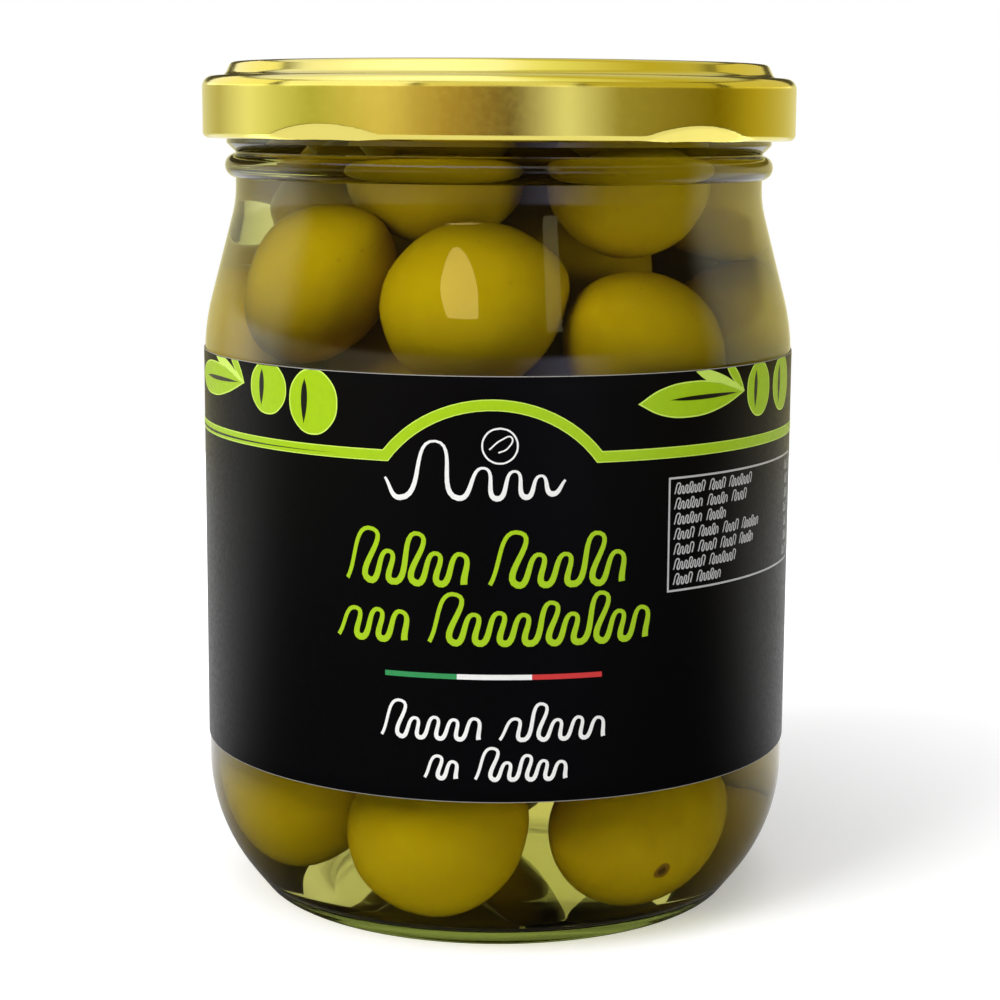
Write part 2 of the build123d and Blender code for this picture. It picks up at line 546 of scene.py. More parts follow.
def brine_material(settings):
    shader = new_material("brine")
    body = shader.principled(
        (0.995, 0.99, 0.94),
        Roughness=0.0,
        IOR=1.34,
        Specular_IOR_Level=0.08,
        Transmission_Weight=1.0,
    )
    deep = shader.node(
        "ShaderNodeVolumeAbsorption",
        values={"Color": (*settings.depth_colour, 1.0), "Density": settings.strength},
    )
    return shader.finish(shader.clear_to_light(body, (0.99, 0.985, 0.93)), deep)


def olive_material(settings, spot):
    """Olive skin, with a brown spot at a place in the jar."""
    shader = new_material("olive skin")
    patch = shader.between(shader.noise(34.0, detail=3.0), 0.36, 0.68)
    mottle = shader.between(shader.noise(260.0, detail=4.0, roughness=0.6), 0.35, 0.70)
    tone = shader.node("ShaderNodeAttribute", {"attribute_name": "tone"}, output="Fac")
    scar = shader.node("ShaderNodeAttribute", {"attribute_name": "scar"}, output="Fac")
    skin = shader.mix(patch * 0.45 + tone * 0.55, tuple(settings.skin), tuple(settings.ripe))
    skin = shader.mix(mottle * 0.16, skin, (0.58, 0.43, 0.003))
    speck = shader.node(
        "ShaderNodeTexVoronoi", values={"Vector": shader.place(), "Scale": 420.0}
    )
    freckle = shader.between(speck, 0.16, 0.05) * shader.between(shader.noise(90.0), 0.48, 0.60)
    skin = shader.mix(freckle * 0.35, skin, (0.22, 0.14, 0.004))
    skin = shader.mix(shader.between(scar, 0.25, 0.70), skin, tuple(settings.scar))
    away = shader.node(
        "ShaderNodeVectorMath", {"operation": "DISTANCE"}, {0: shader.place(), 1: spot}, "Value"
    )
    away = away + shader.noise(700.0) * 0.6 * MM
    skin = shader.mix(shader.between(away, 1.75 * MM, 1.45 * MM), skin, (0.20, 0.10, 0.008))
    skin = shader.mix(shader.between(away, 1.20 * MM, 0.80 * MM), skin, tuple(settings.scar))
    relief = mottle * 0.5 + speck * 0.5
    body = shader.principled(
        skin,
        Roughness=shader.between(mottle, 0.0, 1.0, 0.28, 0.40),
        IOR=1.12,
        Subsurface_Weight=0.12,
        Subsurface_Radius=(1.0, 0.6, 0.05),
        Subsurface_Scale=2.0 * MM,
        Normal=shader.bump(relief, 0.05 * MM, 0.5),
    )
    return shader.finish(body)


def gold_material(settings):
    shader = new_material("gold lacquered tinplate")
    cloud = shader.noise(70.0, detail=3.0)
    grain = shader.noise(900.0, detail=3.0, roughness=0.7)
    gold = shader.mix(shader.between(cloud, 0.35, 0.70) * 0.30, tuple(settings.gold), (0.76, 0.66, 0.09))
    body = shader.principled(
        gold,
        Metallic=1.0,
        Roughness=shader.between(grain, 0.3, 0.7, 0.12, 0.17),
        Coat_Weight=0.35,
        Coat_Roughness=0.12,
        Coat_IOR=1.5,
        Normal=shader.bump(cloud * 0.7 + grain * 0.05, 0.10 * MM, 0.4),
    )
    return shader.finish(body)


def paper_material(settings):
    shader = new_material("black satin paper")
    fibre = shader.noise(1500.0, detail=3.0, roughness=0.7)
    wave = shader.noise(60.0, detail=2.0)
    body = shader.principled(
        shader.mix(fibre, tuple(settings.paper), (0.0025, 0.0025, 0.003)),
        Roughness=shader.between(fibre, 0.3, 0.7, 0.30, 0.40),
        Specular_IOR_Level=0.09,
        Normal=shader.bump(wave * 0.8 + fibre * 0.02, 0.06 * MM, 0.5),
    )
    return shader.finish(body)


def plain_paper_material(name, ink, roughness=0.38, grain=0.06):
    """Paper or ink of one colour, with a little grain."""
    shader = new_material(name)
    fibre = shader.noise(1100.0, detail=3.0, roughness=0.65)
    darker = tuple(c * (1 - 2.5 * grain) for c in ink)
    body = shader.principled(
        shader.mix(fibre, tuple(ink), darker),
        Roughness=shader.between(fibre, 0.3, 0.7, roughness - grain, roughness + grain),
        Normal=shader.bump(fibre, 0.005 * MM, 0.3),
    )
    return shader.finish(body)


# Glass and brine


def rise(radius, start, end):
    """How far an arc rises while its slope goes from start to end, in radians."""
    return radius * (math.cos(start) - math.cos(end))


def glass_places(s):
    """Sizes of the jar that follow from its settings."""
    p = SimpleNamespace()
    run_in = s.heel_radius * (1 - math.cos(s.heel_turn)) + s.heel_cone * math.sin(s.heel_turn)
    p.standing_radius = s.body_radius - run_in - s.foot_corner * math.cos(s.heel_turn)
    p.heel_top = (
        s.foot_corner * (1 - math.sin(s.heel_turn))
        + s.heel_cone * math.cos(s.heel_turn)
        + s.heel_radius * math.sin(s.heel_turn)
    )
    p.neck_radius = s.body_radius - s.shoulder_in
    p.mouth_radius = p.neck_radius - s.wall
    curves = s.shoulder_radius + s.neck_cove
    slope = s.shoulder_slope
    p.slant = (s.shoulder_in - curves * (1 - math.cos(slope))) / math.sin(slope)
    p.neck_start = s.shoulder_start + curves * math.sin(slope) + p.slant * math.cos(slope)
    p.bead_z = p.neck_start + s.bead_rise
    p.bead_lean = math.acos((s.bead_curve - s.bead_reach) / s.bead_curve)
    p.bead_half = s.bead_curve * math.sin(p.bead_lean)
    p.finish_foot = p.bead_z + s.finish_rise
    p.finish_radius = p.neck_radius + s.finish_step
    p.rim_top = JAR_HIGH.z
    p.thread_bottom = LID_LOW.z + s.thread_above_lid_edge
    p.thread_top = p.thread_bottom + s.thread_height
    return p


def inner_path(s, p, reach=0.0):
    """From the middle of the floor out and up the inside of the glass to the neck."""
    corner = s.inner_corner + reach
    side = s.body_radius - s.wall + reach
    heel = s.heel_radius - s.wall + reach
    turn = math.degrees(s.heel_turn)
    slope = math.degrees(s.floor_slope)
    shoulder = math.degrees(s.shoulder_slope)
    heel_start = side - heel * (1 - math.cos(s.heel_turn))
    floor_radius = heel_start - corner * (math.cos(s.heel_turn) + math.sin(s.floor_slope))
    dome = floor_radius / math.sin(s.floor_slope)
    low = p.heel_top - heel * math.sin(s.heel_turn) - corner * (1 - math.sin(s.heel_turn))
    middle_z = low + rise(corner, 0.0, s.floor_slope) + rise(dome, 0.0, s.floor_slope)
    path = Path(0.0, middle_z)
    path.arc(dome, -slope, longest=3 * MM).arc(corner, 90 - turn + slope).arc(heel, turn)
    path.to(side, s.shoulder_start).arc(s.shoulder_radius - s.wall + reach, shoulder)
    path.line(p.slant).arc(s.neck_cove + s.wall - reach, -shoulder)
    return path


def glass_path(s, p):
    """Round the whole wall of the glass, from the middle of its floor to that of its underside."""
    turn = math.degrees(s.heel_turn)
    shoulder = math.degrees(s.shoulder_slope)
    path = inner_path(s, p)
    path.to(p.mouth_radius, p.rim_top - s.lip_round).arc(s.lip_round, -90, finest=15)
    path.to(p.finish_radius - s.rim_round, p.rim_top).arc(s.rim_round, -90, finest=10)
    for z in (p.thread_top, p.thread_bottom, p.finish_foot):
        path.to(p.finish_radius, z)
    path.to(p.neck_radius, p.finish_foot - s.finish_step)
    lean = math.degrees(p.bead_lean)
    path.to(p.neck_radius, p.bead_z + p.bead_half).turned(lean)
    path.arc(s.bead_curve, -2 * lean, finest=10)
    path.to(p.neck_radius, p.neck_start).arc(s.neck_cove, shoulder)
    path.line(p.slant).arc(s.shoulder_radius, -shoulder)
    path.to(s.body_radius, p.heel_top).arc(s.heel_radius, -turn).line(s.heel_cone)
    path.arc(s.foot_corner, turn - 90, finest=10).line(s.standing_width)
    step, slope = math.degrees(s.push_up_turn), math.degrees(s.push_up_slope)
    path.arc(s.push_up_round, -step, finest=10).arc(s.push_up_round, step - slope, finest=10)
    path.arc(path.end[0] / math.sin(s.push_up_slope), slope, longest=3 * MM)
    return path


def lug_middles(s):
    """Bearings of the lugs and threads, from the front."""
    step = 2 * math.pi / s.thread_count
    return [s.thread_turn + (n + 0.5) * step for n in range(s.thread_count)]


def near_lug(point, s, arc):
    offsets = [math.remainder(bearing(point) - at, 2 * math.pi) for at in lug_middles(s)]
    return min(abs(offset) for offset in offsets) < arc / 2


def raise_threads(jar, s, p):
    """Pulls the threads out of the band between their two edges."""

    def on_thread(face):
        at = middle(face)
        outside = math.hypot(at.x, at.y) > p.finish_radius - s.wall / 2
        return outside and p.thread_bottom < at.z < p.thread_top and near_lug(at, s, s.thread_arc)

    with editing(jar):
        pick(jar, "faces", on_thread)
        bpy.ops.mesh.extrude_region_shrink_fatten(
            TRANSFORM_OT_shrink_fatten={"value": s.thread_reach}
        )
        bpy.ops.transform.resize(
            value=(1, 1, 0.5), center_override=(0, 0, (p.thread_bottom + p.thread_top) / 2)
        )


class OLIVEJAR_OT_glass(bpy.types.Operator):
    """Make the glass jar"""

    bl_idname = "olivejar.glass"
    bl_label = "Glass jar"

    def execute(self, context):
        s = context.scene.olivejar_glass
        p = glass_places(s)
        jar = draw("glass_jar", glass_path(s, p))
        spin_round(jar, s.turns)
        raise_threads(jar, s, p)
        smooth(jar)
        jar.data.materials.append(glass_material(s))
        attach(jar, "root")
        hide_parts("jar")
        return {"FINISHED"}


class OLIVEJAR_OT_brine(bpy.types.Operator):
    """Make the brine that fills the jar"""

    bl_idname = "olivejar.brine"
    bl_label = "Brine"

    def execute(self, context):
        s = context.scene.olivejar_brine
        glass = context.scene.olivejar_glass
        p = glass_places(glass)
        path = inner_path(glass, p, s.reach)
        level = BRINE_HIGH.z
        path.to(path.end[0], level).turned(90)
        path.heading = math.radians(-135)
        path.arc(s.meniscus * 1.7, -45, finest=9)
        path.heading = math.radians(180)
        path.to(0.0, path.end[1], steps=6)
        brine = draw("brine_fill", path)
        spin_round(brine, glass.turns)
        smooth(brine)
        brine.data.materials.append(brine_material(s))
        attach(brine, "root")
        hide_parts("brine")
        return {"FINISHED"}


# Olives

# Olives seen at the front, in mm and degrees: middle (x, y, z), length, width, tilt of the long
# axis off level, and its yaw out of the wall.
FRONT_OLIVES = [
    (-21.9, -18.1, 89.2, 24.6, 19.2, 42, 0),
    (-3.1, -27.6, 87.3, 23.8, 21.2, 21, 0),
    (18.0, -24.4, 81.2, 26.0, 19.0, -24, -21),
    (-7.6, -15.8, 104.4, 23.0, 20.6, 130, -20),
    (16.1, -19.2, 103.6, 25.0, 20.6, 42, -27),
    (-23.6, -14.0, 18.8, 26.4, 21.0, 187, 0),
    (-7.5, -25.0, 15.8, 23.4, 21.4, 201, 0),
    (18.2, -15.1, 15.7, 27.2, 20.4, 4, 0),
]
# The one with a brown spot on its skin, and the spot's place from its middle.
SPOTTED = 7
SPOT_OFF_MIDDLE = (4.0 * MM, -8.2 * MM, -5.3 * MM)


def olive_axis(at, tilt, yaw):
    """Long axis of an olive on the wall at a bearing. Angles are in radians."""
    outward = Vector((math.sin(at), -math.cos(at), 0))
    along = Vector((math.cos(at), math.sin(at), 0))
    level = math.cos(tilt) * along + math.sin(tilt) * Vector((0, 0, 1))
    return math.cos(yaw) * level + math.sin(yaw) * outward


class Heap:
    """Olives in the jar. Each is two balls on its long axis, held apart by its length.

    Held ones keep to where they are seen and give way only to and fro.
    """

    def __init__(self, wall, level):
        points = np.array(wall)
        steps = [np.linspace(points[n], points[n + 1], 24) for n in range(len(points) - 1)]
        self.wall = np.concatenate(steps)
        along = np.gradient(self.wall, axis=0)
        along /= np.linalg.norm(along, axis=1)[:, None] + 1e-12
        self.inward = np.stack([-along[:, 1], along[:, 0]], axis=1)
        self.level = level
        self.wall_clear = 0.45 * MM
        self.seen_above, self.seen_below = 74 * MM, 26 * MM
        self.front_clear = 6 * MM
        self.left_above, self.left_clear = 78 * MM, 14 * MM
        self.middles, self.axes, self.lengths, self.widths, self.held = [], [], [], [], []

    def add(self, place, axis, long_way, width, held):
        self.middles.append(place)
        self.axes.append(axis)
        self.lengths.append(long_way)
        self.widths.append(width)
        self.held.append(held)

    def push_from_wall(self, balls, radii):
        """How far each ball has to move to come clear of the glass and the level of the brine."""
        out = np.hypot(balls[:, 0], balls[:, 1])
        flat = np.stack([out, balls[:, 2]], axis=1)
        gaps = flat[:, None, :] - self.wall[None, :, :]
        nearest = np.argmin((gaps**2).sum(axis=2), axis=1)
        rows = np.arange(len(balls))
        inward = self.inward[nearest]
        depth = radii + self.wall_clear - (gaps[rows, nearest] * inward).sum(axis=1)
        depth = np.maximum(depth, 0.0)
        move = inward * depth[:, None]
        radial = balls[:, :2] / np.maximum(out, 1e-6)[:, None]
        push = np.column_stack([radial * move[:, :1], move[:, 1]])
        over = np.maximum(balls[:, 2] + radii - self.level, 0.0)
        push[:, 2] -= over
        return push

    def settle(self, rounds, grown=0.75):
        """Lets the loose olives grow to size and push each other apart, drifting down below 60 mm and up
        above it.
        """
        middles = np.array(self.middles, float)
        axes = np.array(self.axes, float)
        half = np.array(self.lengths) / 2
        radius = np.array(self.widths) / 2
        loose = ~np.array(self.held)
        for n in range(rounds):
            size = min(1.0, grown + (1 - grown) * n / (0.6 * rounds))
            size = np.where(loose, size, 1.0)
            offsets = axes * ((half - radius) * size)[:, None]
            balls = np.concatenate([middles + offsets, middles - offsets])
            radii = np.concatenate([radius * size] * 2)
            owner = np.concatenate([np.arange(len(middles))] * 2)
            gaps = balls[:, None, :] - balls[None, :, :]
            apart = np.sqrt((gaps**2).sum(axis=2)) + 1e-9
            depth = radii[:, None] + radii[None, :] - apart
            depth[owner[:, None] == owner[None, :]] = 0.0
            depth = np.maximum(depth, 0.0)
            push = (gaps / apart[:, :, None] * depth[:, :, None]).sum(axis=1) / 2
            push += 2.6 * self.push_from_wall(balls, radii)
            push[:, 2] += 0.004 * MM * np.sign(balls[:, 2] - 60 * MM)
            seen = (balls[:, 2] > self.seen_above) | (balls[:, 2] < self.seen_below)
            seen &= loose[owner]
            push[:, 1] += np.where(seen, np.maximum(-self.front_clear - balls[:, 1], 0.0), 0.0)
            seen = (balls[:, 2] > self.left_above) & loose[owner]
            push[:, 0] += np.where(seen, np.maximum(-self.left_clear - balls[:, 0], 0.0), 0.0)
            push *= 0.55
            first, second = push[: len(middles)], push[len(middles) :]
            free = np.where(loose[:, None], 1.0, (0.0, 0.7, 0.0))
            move = free * (first + second) / 2
            turn = np.where(loose[:, None], (first - second) / 2, 0.0)
            middles = middles + move
            axes = axes + turn / np.maximum((half - radius) * size, 0.4 * MM)[:, None] * 0.5
            axes /= np.linalg.norm(axes, axis=1)[:, None]
        self.middles, self.axes = middles, axes
        return float(depth.max())


def fill_heap(s, glass, p, draws):
    """The olives at the front, as they lie, and the hidden ones settled behind them."""
    path = inner_path(glass, p)
    path.to(path.end[0], JAR_HIGH.z)
    heap = Heap(path.points, BRINE_HIGH.z)
    for x, y, z, long_way, width, tilt, yaw in FRONT_OLIVES:
        axis = olive_axis(math.atan2(x, -y), math.radians(tilt), math.radians(yaw))
        heap.add((x * MM, y * MM, z * MM), axis, long_way * MM, width * MM, True)
    low, high = 14 * MM, BRINE_HIGH.z - 10 * MM
    for n in range(s.hidden):
        size = 1 + s.spread * draws.uniform(-1, 1)
        at = n * math.pi * (3 - math.sqrt(5))
        out = (28 * MM) * math.sqrt(draws.uniform(0, 1))
        height = low + (high - low) * (n + 0.5) / s.hidden
        axis = draws.normal(size=3)
        heap.add(
            (math.sin(at) * out, -math.cos(at) * out, height),
            axis / np.linalg.norm(axis),
            s.length * size * draws.uniform(0.96, 1.06),
            s.width * size,
            False,
        )
    heap.settle(1100)
    return heap


def model_olive():
    """One olive of 2 cm, long axis up: a stem scar in a dimple above, a blunt tip below."""
    deselect()
    bpy.ops.mesh.primitive_uv_sphere_add(segments=44, ring_count=28, radius=10 * MM)
    olive = bpy.context.object
    tip = 10 * MM
    with editing(olive, "VERT"):
        pick(olive, "verts", lambda v: v.co.z > tip - 0.02 * MM)
        bpy.ops.transform.translate(
            value=(0, 0, -0.9 * MM),
            use_proportional_edit=True,
            proportional_edit_falloff="SHARP",
            proportional_size=3.2 * MM,
        )
        pick(olive, "verts", lambda v: v.co.z < -tip + 0.02 * MM)
        bpy.ops.transform.translate(
            value=(0, 0, -0.5 * MM),
            use_proportional_edit=True,
            proportional_edit_falloff="SMOOTH",
            proportional_size=6 * MM,
        )
        pick(olive, "verts", lambda v: abs(v.co.z - 1.5 * MM) < 0.6 * MM)
        bpy.ops.transform.resize(
            value=(1.02, 1.02, 1),
            use_proportional_edit=True,
            proportional_edit_falloff="SMOOTH",
            proportional_size=8 * MM,
        )
    return olive


def paint_points(piece, name, values):
    layer = piece.data.attributes.new(name, "FLOAT", "POINT")
    layer.data.foreach_set("value", np.array(values, np.float32))


def copy_olive(model, place, axis, long_way, width, draws):
    """A copy of the model olive, at its own size, turned about its own long axis."""
    olive = model.copy()
    olive.data = model.data.copy()
    bpy.context.collection.objects.link(olive)
    upright = Vector((0, 0, 1)).rotation_difference(Vector(axis))
    roll = Matrix.Rotation(draws.uniform(0, 2 * math.pi), 4, "Z")
    size = Matrix.Diagonal((width / (20 * MM), width / (20 * MM), long_way / (20 * MM), 1))
    olive.matrix_world = Matrix.Translation(place) @ upright.to_matrix().to_4x4() @ roll @ size
    paint_points(olive, "tone", [draws.uniform(0, 1)] * len(olive.data.vertices))
    stem = [max(0.0, 1 - v.co.xy.length / (1.3 * MM)) if v.co.z > 0 else 0.0 for v in model.data.vertices]
    paint_points(olive, "scar", stem)
    return olive


class OLIVEJAR_OT_olives(bpy.types.Operator):
    """Fill the jar with olives"""

    bl_idname = "olivejar.olives"
    bl_label = "Olives"

    def execute(self, context):
        s = context.scene.olivejar_olives
        glass = context.scene.olivejar_glass
        draws = np.random.RandomState(11)
        heap = fill_heap(s, glass, glass_places(glass), draws)
        model = model_olive()
        turned = np.where(heap.axes[:, 1:2] < 0, -1.0, 1.0)
        copies = [
            copy_olive(model, *olive, draws)
            for olive in zip(heap.middles, heap.axes * turned, heap.lengths, heap.widths)
        ]
        bpy.data.objects.remove(model)
        olives = join("olives", copies)
        settle_place(olives)
        swell = bpy.data.textures.new("olive swell", "CLOUDS")
        swell.noise_scale = 14 * MM
        apply_modifier(
            olives,
            "DISPLACE",
            texture=swell,
            texture_coords="GLOBAL",
            strength=s.unevenness,
            mid_level=0.55,
        )
        activate(olives)
        bpy.ops.object.shade_smooth()
        spot = Vector(heap.middles[SPOTTED]) + Vector(SPOT_OFF_MIDDLE)
        olives.data.materials.append(olive_material(s, spot))
        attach(olives, "root")
        return {"FINISHED"}


# Lid


def lid_path(s):
    """The outer face of the lid's sheet, from the middle of its top to the end of its curl."""
    skirt = LID_HIGH.x
    shoulder_z = LID_HIGH.z - s.shoulder_drop
    ring = skirt - s.ring_inset
    dish = skirt - s.dish_inset
    dish_z = LID_HIGH.z - s.dish_depth
    button_z = dish_z - s.button_depth
    edge = LID_LOW.z + s.curl_radius
    corners = [
        (s.button_radius, button_z),
        (s.button_radius + s.button_slope, dish_z),
        (dish, dish_z),
        (dish + s.dish_lean, LID_HIGH.z),
        (ring, LID_HIGH.z),
        (ring + s.ring_lean, shoulder_z),
        (skirt, shoulder_z),
        (skirt, edge),
    ]
    radii = [
        s.button_round,
        s.button_round,
        s.dish_round,
        s.dish_round,
        s.ring_round,
        s.ring_cove,
        s.shoulder_round,
    ]
    path = Path(0.0, button_z).rounded(corners, radii, last_steps=18)
    return path.arc(s.curl_radius, -math.degrees(s.curl_turn), finest=12)


def press_lugs(lid, s, glass):
    """Presses the skirt flat at each lug, and pulls the curl's end in as its tongue."""
    crease = (LID_HIGH.x, LID_LOW.z + s.lug_height)
    end = lid_path(s).end
    for at in lug_middles(glass):
        outward = Vector((math.sin(at), -math.cos(at), 0))
        hinge = outward * crease[0] + Vector((0, 0, crease[1]))
        facing = outward * math.cos(s.lug_lean) - Vector((0, 0, math.sin(s.lug_lean)))
        for vertex in lid.data.vertices:
            if abs(math.remainder(bearing(vertex.co) - at, 2 * math.pi)) < s.lug_arc:
                depth = (vertex.co - hinge).dot(facing)
                if depth > 0:
                    vertex.co -= facing * depth
    with editing(lid, "VERT"):
        pick(
            lid,
            "verts",
            lambda v: abs(math.hypot(v.co.x, v.co.y) - end[0]) < 0.3 * MM
            and abs(v.co.z - end[1]) < 0.4 * MM
            and near_lug(v.co, glass, s.lug_arc * 0.6),
        )
        pull = 1 - s.lug_reach / end[0]
        bpy.ops.transform.resize(
            value=(pull, pull, 1),
            center_override=(0, 0, 0),
            use_proportional_edit=True,
            proportional_edit_falloff="SMOOTH",
            proportional_size=0.8 * MM,
        )


class OLIVEJAR_OT_lid(bpy.types.Operator):
    """Make the twist-off lid"""

    bl_idname = "olivejar.lid"
    bl_label = "Lid"

    def execute(self, context):
        s = context.scene.olivejar_lid
        lid = draw("gold_lid", lid_path(s))
        spin_round(lid, s.turns)
        press_lugs(lid, s, context.scene.olivejar_glass)
        apply_modifier(lid, "SOLIDIFY", thickness=s.sheet, offset=-1.0)
        smooth(lid, 30)
        lid.data.materials.append(gold_material(s))
        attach(lid, "root")
        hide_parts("lid")
        return {"FINISHED"}


# Label and print

INK_LAYERS = 3


def paper_radius(s):
    """Outside of the label's paper, under all its layers of ink."""
    return LABEL_HIGH.x - (INK_LAYERS + 0.5) * s.ink


class OLIVEJAR_OT_label(bpy.types.Operator):
    """Make the paper label"""

    bl_idname = "olivejar.label"
    bl_label = "Label"

    def execute(self, context):
        s = context.scene.olivejar_label
        radius = paper_radius(s)
        low, high, rim = LABEL_LOW.z, LABEL_HIGH.z, 0.11 * MM
        path = Path(radius - rim / 3, low).to(radius, low + rim)
        path.to(radius, high - rim, steps=24).to(radius - rim / 3, high)
        label = draw("paper_label", path)
        spin_round(label, 240, 2 * math.pi - s.gap)
        label.data.transform(Matrix.Rotation(self.back_turn(label), 4, "Z"))
        apply_modifier(label, "SOLIDIFY", thickness=s.thickness, offset=-1.0)
        smooth(label)
        label.data.materials.append(paper_material(s))
        label.data.materials.append(plain_paper_material("cut paper edge", s.edge))
        for face in label.data.polygons:
            face.material_index = int(not low + rim < face.center.z < high - rim)
        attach(label, "root")
        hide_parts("label")
        return {"FINISHED"}

    @staticmethod
    def back_turn(label):
        """The turn that brings the gap between the label's ends to the back."""
        ends = sorted(bearing(v.co) for v in label.data.vertices)
        gaps = [(b - a, (a + b) / 2) for a, b in zip(ends, ends[1:] + [ends[0] + 2 * math.pi])]
        return math.pi - max(gaps)[1]


def bend(piece, angle, s):
    """Bends flat art round Z to the radius of the paper."""
    apply_modifier(
        piece, "SIMPLE_DEFORM", deform_method="BEND", deform_axis="Z", angle=angle
    )
    piece.data.transform(Matrix.Translation((0, -paper_radius(s), 0)))
    return piece


def wrap(piece, layer, s, pitch=1.2 * MM):
    """Gives flat art its layer of ink and bends it round the label."""
    across = [v.co.x for v in piece.data.vertices]
    low, high = min(across), max(across)
    with editing(piece):
        for n in range(math.floor(low / pitch) + 1, math.ceil(high / pitch)):
            bpy.ops.mesh.select_all(action="SELECT")
            bpy.ops.mesh.bisect(plane_co=(n * pitch, 0, 0), plane_no=(1, 0, 0))
    with editing(piece):
        pick(piece, "faces", lambda face: face.normal.y > 0)
        bpy.ops.mesh.flip_normals()
        bpy.ops.mesh.select_all(action="SELECT")
        bpy.ops.transform.translate(value=(0, -layer * s.ink, 0))
    apply_modifier(piece, "SOLIDIFY", thickness=s.ink, offset=1.0)
    return bend(piece, (high - low) / paper_radius(s), s)


def trimmed(piece):
    """Cuts art off just inside the label's upper edge."""
    with editing(piece):
        bpy.ops.mesh.bisect(
            plane_co=(0, 0, LABEL_HIGH.z - 0.2 * MM), plane_no=(0, 0, 1), clear_outer=True
        )
    return piece


def finish_print(name, pieces, inks):
    """Joins wrapped art into one piece of print; each part keeps its own ink."""
    for piece, ink in zip(pieces, inks):
        piece.data.materials.append(ink)
    art = join(name, pieces)
    smooth(art)
    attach(art, "root")
    return art


def shape(outline, inset=0.0):
    """Draws a flat filled shape through points on the label, in mm. "corner" marks sharp ones."""
    deselect()
    bpy.ops.curve.primitive_bezier_curve_add(rotation=(math.pi / 2, 0, 0))
    line = bpy.context.object.data
    line.dimensions = "2D"
    line.fill_mode = "BOTH"
    line.resolution_u = 10
    line.offset = -inset * MM
    spline = line.splines[0]
    spline.use_cyclic_u = True
    spline.bezier_points.add(len(outline) - 2)
    for knot, (across, height, *corner) in zip(spline.bezier_points, outline):
        knot.co = (across * MM, height * MM, 0)
        kind = "VECTOR" if corner else "AUTO"
        knot.handle_left_type = kind
        knot.handle_right_type = kind
    bpy.ops.object.convert(target="MESH")
    piece = bpy.context.object
    settle_place(piece)
    return piece


def box_path(left, right, low, high):
    return Path(left, low).to(right, low).to(right, high).to(left, high).to(left, low)


def printed(paths, layer, s):
    """Filled and wrapped shapes, all on one layer."""
    return [wrap(trimmed(fill("art", path)), layer, s) for path in paths]


def almond(tip, foot, width):
    """Outline of a leaf between its tip and its foot, in mm."""
    swell = 0.45  # where it is widest, as a share of its length
    (x, z), (along, rise) = tip, (foot[0] - tip[0], foot[1] - tip[1])
    size = math.hypot(along, rise)
    side = (-rise / size * width / 2, along / size * width / 2)

    def at(share, out):
        return (x + along * share + side[0] * out, z + rise * share + side[1] * out)

    there = [at(swell * 0.4, 0.72), at(swell, 1.0), at((1 + swell) / 2, 0.72)]
    back = [at((1 + swell) / 2, -0.72), at(swell, -1.0), at(swell * 0.4, -0.72)]
    return [(*tip, "corner"), *there, (*foot, "corner"), *back]


def oval(middle, width, height):
    """Outline of an olive, in mm."""
    turns = [n * math.pi / 4 for n in range(8)]
    x, z = middle
    return [(x + width / 2 * math.cos(at), z + height / 2 * math.sin(at)) for at in turns]


def glint(middle, width, height):
    """Outline of the narrow black mark down the left of an olive, in mm."""
    x, z = middle[0] - width * 0.22, middle[1]
    return almond((x + 0.5, z + height * 0.34), (x + 0.3, z - height * 0.34), width * 0.13)


# A sprig is a big leaf and two small ones that point left from one stalk, and two olives right
# of it: where the stalk is, and each olive's middle, width and height, in mm.
SPRIGS = {
    "sprig_right": ((38.5, 76.0), [((42.5, 76.0), 6.6, 7.6), ((51.0, 76.0), 7.6, 7.8)]),
    "sprig_left": ((-40.0, 76.5), [((-34.5, 76.4), 7.6, 7.2), ((-26.0, 75.2), 8.2, 8.8)]),
}


def sprig(name, inks, s):
    (x, z), olives = SPRIGS[name]
    leaves = [
        almond((x - 19.5, z - 0.5), (x, z), 4.8),
        almond((x - 10.5, z + 3.6), (x, z), 1.7),
        almond((x - 4.5, z + 4.6), (x, z), 1.5),
    ]
    bright = leaves + [oval(*olive) for olive in olives]
    dark = [almond((x - 14.5, z - 0.2), (x - 1.5, z), 0.6)]
    dark += [glint(*olive) for olive in olives]
    pieces, used = [], []
    for layer, (outlines, inset, ink) in enumerate(
        ((bright, 0.0, "pale"), (bright, 0.2, "lime"), (dark, 0.0, "black"))
    ):
        for outline in outlines:
            pieces.append(wrap(trimmed(shape(outline, inset)), layer, s))
            used.append(inks[ink])
    return finish_print(name, pieces, used)


def pen(points, thick, thin):
    """A stroke of flat ink through points (across, height) in mm, thicker where it runs down."""
    deselect()
    bpy.ops.curve.primitive_bezier_curve_add(rotation=(math.pi / 2, 0, 0))
    line = bpy.context.object.data
    spline = line.splines[0]
    spline.bezier_points.add(len(points) - 2)
    for n, (knot, (across, height)) in enumerate(zip(spline.bezier_points, points)):
        knot.co = (across * MM, height * MM, 0)
        knot.handle_left_type = "AUTO"
        knot.handle_right_type = "AUTO"
        falling = n > 0 and height < points[n - 1][1]
        knot.radius = thick if falling else thin
    line.dimensions = "3D"
    line.resolution_u = 12
    line.bevel_depth = 0.5 * MM
    line.bevel_resolution = 1
    line.use_fill_caps = True
    bpy.ops.object.convert(target="MESH")
    piece = bpy.context.object
    settle_place(piece)
    return piece


def running(left, right, low, x_high, tall, strokes, ups=(1.0, 0.0, 0.0, 0.6)):
    """Points of a running hand: slanted strokes, some of them tall. It spells nothing."""
    points = []
    for n in range(2 * strokes + 1):
        height = 0.0
        if n % 2:
            height = x_high + (tall - x_high) * ups[(n // 2) % len(ups)]
        x = left + (right - left) * n / (2 * strokes) + 0.32 * height
        points.append((x, low + height))
    return points


